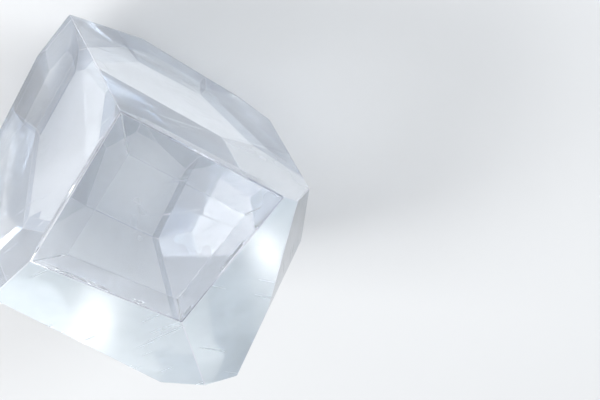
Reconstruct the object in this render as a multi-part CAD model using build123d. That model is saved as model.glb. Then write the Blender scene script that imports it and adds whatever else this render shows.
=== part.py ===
from build123d import *

import os
from math import cos, radians, sin

# A solid clear acrylic display cube, about 80 mm across, cut and polished by hand.
# A cast core of the cube's own shape carries one thick plate on every facet. Each plate meets
# its neighbours in mitres that halve the angle between their outer faces, and is cemented to
# them and to the core. The top plate is the cover: it lies loose on the core, and its mitres
# taper like a plug, so it lifts straight out of its seat and can press a flat exhibit.
# Frame: +Z up, the origin on the resting face below the cube's centre, +X to the right wall,
# +Y to the back wall. Lengths are in millimetres.

SHEET = 9.5             # thickness of the cast sheet
BASE_DEPTH = 42.0       # from the cube's centre down to the face it rests on
COVER_HEIGHT = 43.0     # from the cube's centre up to the cover's top face
COVER_GAP = 0.2         # air gap under the cover and round it, measured square to its faces
BLANK = 300.0           # side of the blank that a plate is cut from, larger than the cube

# One entry for each facet: the compass direction that it faces (degrees from +X towards +Y),
# how far its outward normal leans from straight up (degrees), and its distance from the centre.
# The cube was cut by eye, so the sides are a few degrees out of square with each other.
MAIN_FACES = {
    "cover_plate": (0, 0, COVER_HEIGHT),
    "back_wall": (86, 102, 32.0),
    "left_wall": (180, 84, 36.0),
    "front_wall": (-98, 76, 34.0),
    "right_wall": (9, 70, 40.5),
    "base_plate": (0, 180, BASE_DEPTH),
}
SHOULDERS = {
    "front_shoulder": (-90, 26, 39.5),
    "right_shoulder": (-5, 27, 42.5),
}
UPRIGHT_CORNERS = {
    "front_right_corner": (-59, 81, 40.5),
    "back_right_corner": (36, 97, 38.5),
    "front_left_corner": (-142, 86, 43.5),
    "shoulder_corner_flat": (16, 69, 40.5),
}
FOOT_BEVELS = {
    "back_foot_bevel": (71, 145, 44.0),
    "left_foot_bevel": (-170, 143, 44.5),
    "front_foot_bevel": (-92, 145, 41.5),
    "right_foot_bevel": (5, 140, 38.0),
    "back_left_foot_corner": (149, 143, 47.0),
}
FACETS = MAIN_FACES | SHOULDERS | UPRIGHT_CORNERS | FOOT_BEVELS
CENTRE = Vector(0, 0, BASE_DEPTH)


def facet_normal(name):
    """The outward unit normal of a facet."""
    compass, tilt, _ = FACETS[name]
    flat = sin(radians(tilt))
    return Vector(flat * cos(radians(compass)), flat * sin(radians(compass)), cos(radians(tilt)))


def facet_distance(name):
    """How far a facet's outer face lies from the cube's centre."""
    return FACETS[name][2]


def cut(blank, normal, distance):
    """Keep the part of the blank on the near side of a plane that faces along normal."""
    plane = Plane(origin=CENTRE + normal * distance, z_dir=normal)
    return split(blank, bisect_by=plane, keep=Keep.BOTTOM)


def mitre(name, neighbour):
    """The plane halfway between two facets, as its normal and its distance from the centre."""
    apart = facet_normal(neighbour) - facet_normal(name)
    distance = (facet_distance(neighbour) - facet_distance(name)) / apart.length
    return apart.normalized(), distance


def facet_plate(name, clearance=0.0):
    """One mitred plate. Clearance is taken off its underside and its mitres."""
    outward = facet_normal(name)
    outer = facet_distance(name)
    plate = Pos(CENTRE) * Box(BLANK, BLANK, BLANK)
    plate = cut(plate, outward, outer)
    plate = cut(plate, -outward, SHEET - clearance - outer)
    for neighbour in FACETS:
        if neighbour != name:
            mitre_normal, mitre_distance = mitre(name, neighbour)
            plate = cut(plate, mitre_normal, mitre_distance - clearance)
    return plate.solid()


def core_block():
    """The cast core that every plate lies on."""
    core = Pos(CENTRE) * Box(BLANK, BLANK, BLANK)
    for name in FACETS:
        core = cut(core, facet_normal(name), facet_distance(name) - SHEET)
    return core.solid()


def save(piece, name):
    """Write one piece to its own file."""
    piece.label = name
    export_step(piece, f"parts/{name}.step")


os.makedirs("parts", exist_ok=True)
for facet in FACETS:
    gap = COVER_GAP if facet == "cover_plate" else 0.0
    save(facet_plate(facet, gap), facet)
save(core_block(), "core_block")
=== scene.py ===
from math import radians

import bmesh
import bpy
from mathutils import Matrix, Vector


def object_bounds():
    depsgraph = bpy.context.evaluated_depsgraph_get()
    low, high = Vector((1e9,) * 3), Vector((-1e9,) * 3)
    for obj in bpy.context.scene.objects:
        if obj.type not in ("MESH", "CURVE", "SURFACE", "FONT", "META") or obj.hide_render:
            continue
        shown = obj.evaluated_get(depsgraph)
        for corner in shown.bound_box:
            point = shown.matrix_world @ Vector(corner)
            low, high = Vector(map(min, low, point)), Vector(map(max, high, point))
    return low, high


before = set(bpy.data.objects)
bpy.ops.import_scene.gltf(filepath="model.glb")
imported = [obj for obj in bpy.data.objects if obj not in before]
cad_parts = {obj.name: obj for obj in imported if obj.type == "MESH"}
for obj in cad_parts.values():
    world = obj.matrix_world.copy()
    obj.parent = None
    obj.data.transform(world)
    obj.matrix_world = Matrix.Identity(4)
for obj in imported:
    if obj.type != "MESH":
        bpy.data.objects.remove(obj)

# Looks for a faceted, slightly milky, clear acrylic display cube. Lengths are in metres.
# Only the outer faces and the air gap round the loose cover bend light. Faces that are cemented
# together leave nothing to see, apart from a faint grey on the mitres of some pieces, which is painted
# shade.

CAD_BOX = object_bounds()


def srgb(r, g, b):
    """A colour as the eye names it, in the linear form that shaders use."""
    linear = [c / 12.92 if c <= 0.04045 else ((c + 0.055) / 1.055) ** 2.4 for c in (r, g, b)]
    return (*linear, 1.0)


# The cube.
UP = Vector((0, 0, 1))
CENTRE = Vector((0, 0, 0.042))              # the cube's centre, above its resting face
SHEET = 0.0095                              # thickness of a plate
SAME_CORNER = 0.00001                       # corners of a mesh closer than this are one corner
OUTER_HALF = 0.5 * SHEET                    # a face this near to a plate's outer face isn't its underside

# Two directions are compared by their product, which is 1 when they are the same.
SAME_WAY = 0.9995                           # above this they count as the same
MITRE_LIMIT = 0.95                          # a mitre's, with its plate's outward, is below this

# Polished acrylic, its milky clouds, and its scratches.
ACRYLIC_IOR = 1.49
WHITE = (1.0, 1.0, 1.0, 1.0)
CLOUDS_PER_METRE = 45.0
CLOUD_DETAIL = 3.0
CLOUD_NOISE = (0.35, 0.7)                   # from here to here the noise turns clear acrylic cloudy
SCRATCH_LEAN = Vector((0.35, -0.5, 0.8))    # scratches run square to this, along each facet
SCRATCH_LENGTH = 0.02
SCRATCH_SPACING = 0.0008
SCRATCH_NOISE = (0.76, 0.82)                # from here to here the noise turns polish into a scratch
SCRATCH_ROUGHNESS = 0.25
SCRATCH_STRENGTH = 0.25
SCRATCH_DEPTH = 0.0002

# Each finish has its tint, how much light passes where it is clear, how much less where it is cloudy,
# and its roughness.
NEAR_WHITE = srgb(0.955, 0.97, 0.99)
PALE_BLUE = srgb(0.95, 0.985, 1.0)
# Painted shade: the smoky grey tint of the foot bevels dims the bright floor seen through them.
PAINTED_SHADE_SMOKE = srgb(0.87, 0.89, 0.93)
# Painted shade: this dark grey-blue tint makes the shoulder corner flat look darker than clear acrylic.
PAINTED_SHADE_GREY_BLUE = srgb(0.40, 0.45, 0.50)
CLEAR_FINISH = {"tint": NEAR_WHITE, "clear": 0.84, "cloud": 0.12, "roughness": 0.01}
COVER_FINISH = {"tint": NEAR_WHITE, "clear": 0.80, "cloud": 0.08, "roughness": 0.01}
FROSTY_FINISH = {"tint": PALE_BLUE, "clear": 0.60, "cloud": 0.10, "roughness": 0.14}
PAINTED_SHADE_SMOKY_FINISH = {"tint": PAINTED_SHADE_SMOKE, "clear": 0.84, "cloud": 0.12, "roughness": 0.01}
PAINTED_SHADE_FINISH = {"tint": PAINTED_SHADE_GREY_BLUE, "clear": 0.80, "cloud": 0.10, "roughness": 0.08}
FINISHES = {
    "cover_plate": COVER_FINISH,
    "front_shoulder": FROSTY_FINISH,
    "right_shoulder": FROSTY_FINISH,
    # The corner flat's dark grey-blue tint is painted shade.
    "shoulder_corner_flat": PAINTED_SHADE_FINISH,
    # The foot bevels' smoky grey tint is painted shade.
    "right_foot_bevel": PAINTED_SHADE_SMOKY_FINISH,
    "left_foot_bevel": PAINTED_SHADE_SMOKY_FINISH,
}

# The small polished chamfer along every edge of a plate.
EDGE_WIDTH = 0.00015
EDGE_DEPTH = 2.0 * EDGE_WIDTH               # an outer chamfer lies no further in than this
EDGE_ANGLE = radians(5)                     # an edge that turns more than this gets a chamfer
EDGE_TINT = srgb(0.97, 0.97, 1.0)
EDGE_ROUGHNESS = 0.2
EDGE_CLEAR = 0.5

# The cement, and the seat of the loose cover.
# Painted shade: a grey tint on the mitres of these pieces dims what is seen through them.
PAINTED_SHADE_CEMENT = srgb(0.80, 0.83, 0.87)
PAINTED_SHADE_JOINTS = ("base_plate", "left_foot_bevel", "right_foot_bevel")
SEAT_SHOWS = 0.18                           # how strongly the cover's mitres and its seat show
SLIVER_SIDES = ("front_shoulder", "right_shoulder")
SLIVER_DEPTH = 0.0018                       # how far under the top face slivers of air reach
SLIVER_LENGTH = 0.012
SLIVER_SHARE = 0.5                          # the share of the edge that has slivers

# The camera's place from the cube's centre, and the way that it looks and stands.
CAMERA_FROM_CENTRE = Vector((-0.1180, 0.2013, 0.3546))
CAMERA_LOOKS = Vector((0.359, -0.425, -0.831))
CAMERA_UP = Vector((-0.379, 0.747, -0.546))
LENS = 96.0
SENSOR = 36.0
NEAREST = 0.01                              # the camera sees nothing closer than this

# The studio.
FLOOR_REACH = 3.0
FLOOR_DROP = 0.0002                         # gap between the cube and the floor
PAPER = srgb(0.86, 0.86, 0.86)
PAPER_ROUGHNESS = 0.9
HORIZON = srgb(0.66, 0.67, 0.69)
OVERHEAD = srgb(0.84, 0.85, 0.86)
HORIZON_TO_OVERHEAD = (0.05, 0.75)          # heights in the sky between which one turns into the other
COOL_WHITE = (0.92, 0.96, 1.0)
LIGHT_UP = Vector((0.1, 0.2, 1))            # the way that a softbox's height runs


class Nodes:
    """A short way to build a material's node tree."""

    def __init__(self, name):
        self.material = bpy.data.materials.new(name)
        self.material.use_nodes = True
        self.tree = self.material.node_tree
        self.tree.nodes.clear()
        self.output = self.tree.nodes.new("ShaderNodeOutputMaterial")

    def add(self, kind, **settings):
        node = self.tree.nodes.new(kind)
        for key, value in settings.items():
            setattr(node, key, value)
        return node

    def link(self, source, target):
        self.tree.links.new(source, target)

    def place(self, kind):
        """The surface point's place or its normal, in the piece's own frame."""
        return self.add("ShaderNodeTexCoord").outputs[kind]

    def maths(self, operation, *operands):
        """One maths node. Each operand is another node's output or a number."""
        node = self.add("ShaderNodeMath", operation=operation)
        for socket, operand in zip(node.inputs, operands):
            if isinstance(operand, float):
                socket.default_value = operand
            else:
                self.link(operand, socket)
        return node.outputs["Value"]

    def along(self, vector, direction):
        """How far a vector reaches along direction."""
        product = self.add("ShaderNodeVectorMath", operation="DOT_PRODUCT")
        product.inputs[1].default_value = direction
        self.link(vector, product.inputs[0])
        return product.outputs["Value"]

    def noise(self, vector, scale=1.0, detail=0.0):
        texture = self.add("ShaderNodeTexNoise")
        texture.inputs["Scale"].default_value = scale
        texture.inputs["Detail"].default_value = detail
        self.link(vector, texture.inputs["Vector"])
        return texture.outputs["Fac"]

    def remap(self, value, source=(0.0, 1.0), target=(0.0, 1.0)):
        """Turn one range of a value into another, and stop at its ends."""
        node = self.add("ShaderNodeMapRange")
        node.inputs["From Min"].default_value, node.inputs["From Max"].default_value = source
        node.inputs["To Min"].default_value, node.inputs["To Max"].default_value = target
        self.link(value, node.inputs["Value"])
        return node.outputs["Result"]

    def choose(self, mask, inside, outside):
        """One shader where the mask is one, another where it is zero."""
        mix = self.add("ShaderNodeMixShader")
        self.link(mask, mix.inputs["Fac"])
        self.link(outside, mix.inputs[1])
        self.link(inside, mix.inputs[2])
        return mix.outputs["Shader"]

    def show(self, shader):
        self.link(shader, self.output.inputs["Surface"])
        return self.material


# Masks: one where something holds for a surface, zero elsewhere.

def facing(nodes, direction, limit):
    """Where the surface faces along direction or straight against it."""
    product = nodes.along(nodes.place("Normal"), direction)
    return nodes.maths("GREATER_THAN", nodes.maths("ABSOLUTE", product), limit)


def beyond(nodes, direction, distance):
    """Where the surface lies further out along direction than distance."""
    return nodes.maths("GREATER_THAN", nodes.along(nodes.place("Object"), direction), distance)


def patchy(nodes, length, share):
    """In scattered patches about as long as length, over about a share of the surface."""
    noise = nodes.noise(nodes.place("Object"), 1.0 / length, detail=1.0)
    return nodes.maths("GREATER_THAN", noise, 1.0 - share)


def scratched(nodes, outward):
    """On fine, sparse scratches that run one way along a facet."""
    along = outward.cross(SCRATCH_LEAN).normalized()
    across = outward.cross(along)
    stretch = nodes.add("ShaderNodeMapping", vector_type="TEXTURE")
    stretch.inputs["Rotation"].default_value = Matrix((along, across, outward)).transposed().to_euler()
    stretch.inputs["Scale"].default_value = (SCRATCH_LENGTH, SCRATCH_SPACING, SCRATCH_SPACING)
    nodes.link(nodes.place("Object"), stretch.inputs["Vector"])
    return nodes.remap(nodes.noise(stretch.outputs["Vector"]), SCRATCH_NOISE)


# Shaders.

def acrylic(nodes, tint):
    """Plain acrylic, before its clearness and roughness are set."""
    shader = nodes.add("ShaderNodeBsdfPrincipled")
    shader.inputs["Base Color"].default_value = tint
    shader.inputs["IOR"].default_value = ACRYLIC_IOR
    return shader


def outer_face(nodes, finish, outward):
    """The cube's outside: polished, with milky clouds and a few scratches."""
    shader = acrylic(nodes, finish["tint"])
    clouds = nodes.noise(nodes.place("Object"), CLOUDS_PER_METRE, CLOUD_DETAIL)
    clearness = (finish["clear"], finish["clear"] - finish["cloud"])
    nodes.link(nodes.remap(clouds, CLOUD_NOISE, clearness), shader.inputs["Transmission Weight"])
    scratches = scratched(nodes, outward)
    roughness = (finish["roughness"], finish["roughness"] + SCRATCH_ROUGHNESS)
    nodes.link(nodes.remap(scratches, target=roughness), shader.inputs["Roughness"])
    relief = nodes.add("ShaderNodeBump")
    relief.inputs["Strength"].default_value = SCRATCH_STRENGTH
    relief.inputs["Distance"].default_value = SCRATCH_DEPTH
    nodes.link(scratches, relief.inputs["Height"])
    nodes.link(relief.outputs["Normal"], shader.inputs["Normal"])
    return shader.outputs["BSDF"]


def seat_face(nodes):
    """A clean, clear face on either side of the air gap round the cover."""
    shader = acrylic(nodes, WHITE)
    shader.inputs["Roughness"].default_value = 0.0
    shader.inputs["Transmission Weight"].default_value = 1.0
    return shader.outputs["BSDF"]


def edge_face(nodes):
    """The chamfer along an outer edge, which catches the light as a fine line."""
    shader = acrylic(nodes, EDGE_TINT)
    shader.inputs["Roughness"].default_value = EDGE_ROUGHNESS
    shader.inputs["Transmission Weight"].default_value = EDGE_CLEAR
    return shader.outputs["BSDF"]


def cement(nodes, tint=WHITE):
    """Cement where two pieces meet. It lets everything through, apart from its tint."""
    joint = nodes.add("ShaderNodeBsdfTransparent")
    joint.inputs["Color"].default_value = tint
    return joint.outputs["BSDF"]


# Materials. A plate's outward is the way that its outer face looks, and reach is how far out that lies.

def fixed_material(name, outward, reach, finish, mitre_tint, seat):
    """A fixed plate: acrylic on its outer face, cement on its underside and its mitres.

    The mitre that looks along seat, if there is one, is a side of the loose cover's seat.
    """
    nodes = Nodes(name)
    face = facing(nodes, outward, MITRE_LIMIT)
    joints = nodes.choose(face, cement(nodes), cement(nodes, mitre_tint))
    if seat is not None:
        side = nodes.maths("MULTIPLY", facing(nodes, seat, SAME_WAY), SEAT_SHOWS)
        joints = nodes.choose(side, seat_face(nodes), joints)
    outer = nodes.maths("MULTIPLY", face, beyond(nodes, outward, reach - OUTER_HALF))
    return nodes.show(nodes.choose(outer, outer_face(nodes, finish, outward), joints))


def core_material(name, reach):
    """The core: only its top, under the loose cover, has air against it."""
    nodes = Nodes(name)
    face = facing(nodes, UP, MITRE_LIMIT)
    top = nodes.maths("MULTIPLY", face, beyond(nodes, UP, reach - OUTER_HALF))
    return nodes.show(nodes.choose(top, seat_face(nodes), cement(nodes)))


def cover_material(name, reach, finish, sliver_mitres):
    """The loose cover: hazy on top, clear underneath, and faint on its mitres.

    A mitre's slivers of air, just under the top face, show in full.
    """
    nodes = Nodes(name)
    face = facing(nodes, UP, MITRE_LIMIT)
    shown = nodes.maths("MAXIMUM", face, SEAT_SHOWS)
    patches = patchy(nodes, SLIVER_LENGTH, SLIVER_SHARE)
    rim = nodes.maths("MULTIPLY", beyond(nodes, UP, reach - SLIVER_DEPTH), patches)
    for mitre in sliver_mitres:
        slivers = nodes.maths("MULTIPLY", facing(nodes, mitre, SAME_WAY), rim)
        shown = nodes.maths("MAXIMUM", shown, slivers)
    lower = nodes.choose(shown, seat_face(nodes), cement(nodes))
    upper = nodes.maths("MULTIPLY", face, beyond(nodes, UP, reach - OUTER_HALF))
    return nodes.show(nodes.choose(upper, outer_face(nodes, finish, UP), lower))


def edge_material(name, outward, reach, inner_face):
    """The chamfers: the outer ones as fine lines, the inner ones as inner_face."""
    nodes = Nodes(name)
    outer = beyond(nodes, outward, reach - EDGE_DEPTH)
    return nodes.show(nodes.choose(outer, edge_face(nodes), inner_face(nodes)))


# The pieces.

def outward_normal(plate):
    """The direction of a plate's outer face, which lies further from the cube's centre than any other."""
    outer = max(plate.data.polygons, key=lambda face: (face.center - CENTRE).dot(face.normal))
    return outer.normal.copy()


def outer_reach(piece, outward):
    """How far along outward a piece's outer face lies."""
    return max(corner.co.dot(outward) for corner in piece.data.vertices)


def seat_mitre(plate, outward):
    """The direction of a plate's mitre against the loose cover, if it has one."""
    direction = (UP - outward).normalized()
    if any(face.normal.dot(direction) > SAME_WAY for face in plate.data.polygons):
        return direction
    return None


def cover_mitre(neighbour):
    """The direction, up to its sign, of the cover's mitre against a neighbour."""
    return (outward_normal(bpy.data.objects[neighbour]) - UP).normalized()


def chamfer(plate):
    """A small flat along every edge, in the plate's second material."""
    plate.modifiers.new("join", "WELD").merge_threshold = SAME_CORNER
    bevel = plate.modifiers.new("edge", "BEVEL")
    bevel.width = EDGE_WIDTH
    bevel.segments = 1
    bevel.limit_method = "ANGLE"
    bevel.angle_limit = EDGE_ANGLE
    bevel.material = 1


def dress_core(piece):
    """Give the core its acrylic."""
    piece.data.materials.clear()
    piece.data.materials.append(core_material(piece.name + "_acrylic", outer_reach(piece, UP)))


def dress_plate(plate):
    """Give one plate its acrylic and its chamfers."""
    name = plate.name
    outward = outward_normal(plate)
    reach = outer_reach(plate, outward)
    finish = FINISHES.get(name, CLEAR_FINISH)
    if name == "cover_plate":
        mitres = [cover_mitre(neighbour) for neighbour in SLIVER_SIDES]
        face = cover_material(name + "_acrylic", reach, finish, mitres)
        edge = edge_material(name + "_edge", outward, reach, seat_face)
    else:
        # The grey mitre tint on these pieces is painted shade.
        tint = PAINTED_SHADE_CEMENT if name in PAINTED_SHADE_JOINTS else WHITE
        seat = seat_mitre(plate, outward)
        face = fixed_material(name + "_acrylic", outward, reach, finish, tint, seat)
        edge = edge_material(name + "_edge", outward, reach, cement)
    plate.data.materials.clear()
    plate.data.materials.append(face)
    plate.data.materials.append(edge)
    chamfer(plate)


# The studio and the camera.

def add_to_scene(name, data):
    """A new object that holds data."""
    obj = bpy.data.objects.new(name, data)
    bpy.context.collection.objects.link(obj)
    return obj


def aim(obj, place, target, up):
    """Put a light or a camera at a place, so that it looks at target."""
    look = (target - place).normalized()
    right = look.cross(up).normalized()
    above = right.cross(look)
    turn = Matrix((right, above, -look)).transposed().to_4x4()
    obj.matrix_world = Matrix.Translation(place) @ turn


def make_floor():
    """A wide sheet of pale paper under the cube."""
    mesh = bpy.data.meshes.new("floor")
    shape = bmesh.new()
    bmesh.ops.create_grid(shape, x_segments=1, y_segments=1, size=FLOOR_REACH)
    shape.to_mesh(mesh)
    shape.free()
    floor = add_to_scene("floor", mesh)
    floor.location = (0, 0, CAD_BOX[0][2] - FLOOR_DROP)
    nodes = Nodes("floor_paper")
    paper = nodes.add("ShaderNodeBsdfPrincipled")
    paper.inputs["Base Color"].default_value = PAPER
    paper.inputs["Roughness"].default_value = PAPER_ROUGHNESS
    mesh.materials.append(nodes.show(paper.outputs["BSDF"]))


def make_camera():
    """The camera, where the photograph was taken from."""
    data = bpy.data.cameras.new("camera")
    data.lens = LENS
    data.sensor_width = SENSOR
    data.clip_start = NEAREST
    camera = add_to_scene("camera", data)
    place = CENTRE + CAMERA_FROM_CENTRE
    aim(camera, place, place + CAMERA_LOOKS, CAMERA_UP)
    bpy.context.scene.camera = camera


def make_world():
    """A pale room: grey round the horizon, as the far floor is, and brighter overhead."""
    world = bpy.data.worlds.new("studio")
    world.use_nodes = True
    tree = world.node_tree
    place = tree.nodes.new("ShaderNodeTexCoord")
    split = tree.nodes.new("ShaderNodeSeparateXYZ")
    height = tree.nodes.new("ShaderNodeMapRange")
    height.inputs["From Min"].default_value, height.inputs["From Max"].default_value = HORIZON_TO_OVERHEAD
    ramp = tree.nodes.new("ShaderNodeMix")
    ramp.data_type = "RGBA"
    ramp.inputs["A"].default_value = HORIZON
    ramp.inputs["B"].default_value = OVERHEAD
    tree.links.new(place.outputs["Generated"], split.inputs["Vector"])
    tree.links.new(split.outputs["Z"], height.inputs["Value"])
    tree.links.new(height.outputs["Result"], ramp.inputs["Factor"])
    tree.links.new(ramp.outputs["Result"], tree.nodes["Background"].inputs["Color"])
    tree.nodes["Background"].inputs["Strength"].default_value = 1.0
    bpy.context.scene.world = world


def softbox(name, place, size, power, colour=(1, 1, 1)):
    """A rectangular light that looks at the cube."""
    light = bpy.data.lights.new(name, "AREA")
    light.shape = "RECTANGLE"
    light.size, light.size_y = size
    light.energy = power
    light.color = colour
    aim(add_to_scene(name, light), Vector(place), CENTRE, LIGHT_UP)


def make_lights():
    """Two large softboxes, and two small ones for the white glows on the frosty shoulders."""
    softbox("key", place=(-0.5, -0.3, 0.5), size=(0.4, 0.4), power=4.5)
    softbox("fill", place=(0.3, 0.6, 0.4), size=(0.3, 0.5), power=3.5, colour=COOL_WHITE)
    softbox("front_glow", place=(0.129, -0.494, 0.111), size=(0.018, 0.012), power=0.016)
    softbox("right_glow", place=(0.442, -0.227, 0.163), size=(0.008, 0.018), power=0.018)


def set_up_scene():
    """Plain display colours, and enough bounces for light to find its way through all the plates."""
    scene = bpy.context.scene
    scene.view_settings.view_transform = "Standard"
    scene.cycles.max_bounces = 24
    scene.cycles.transmission_bounces = 24
    scene.cycles.transparent_max_bounces = 32
    scene.cycles.glossy_bounces = 8


for node_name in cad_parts:
    if node_name == "core_block":
        dress_core(bpy.data.objects[node_name])
    else:
        dress_plate(bpy.data.objects[node_name])
make_floor()
make_camera()
make_world()
make_lights()
set_up_scene()
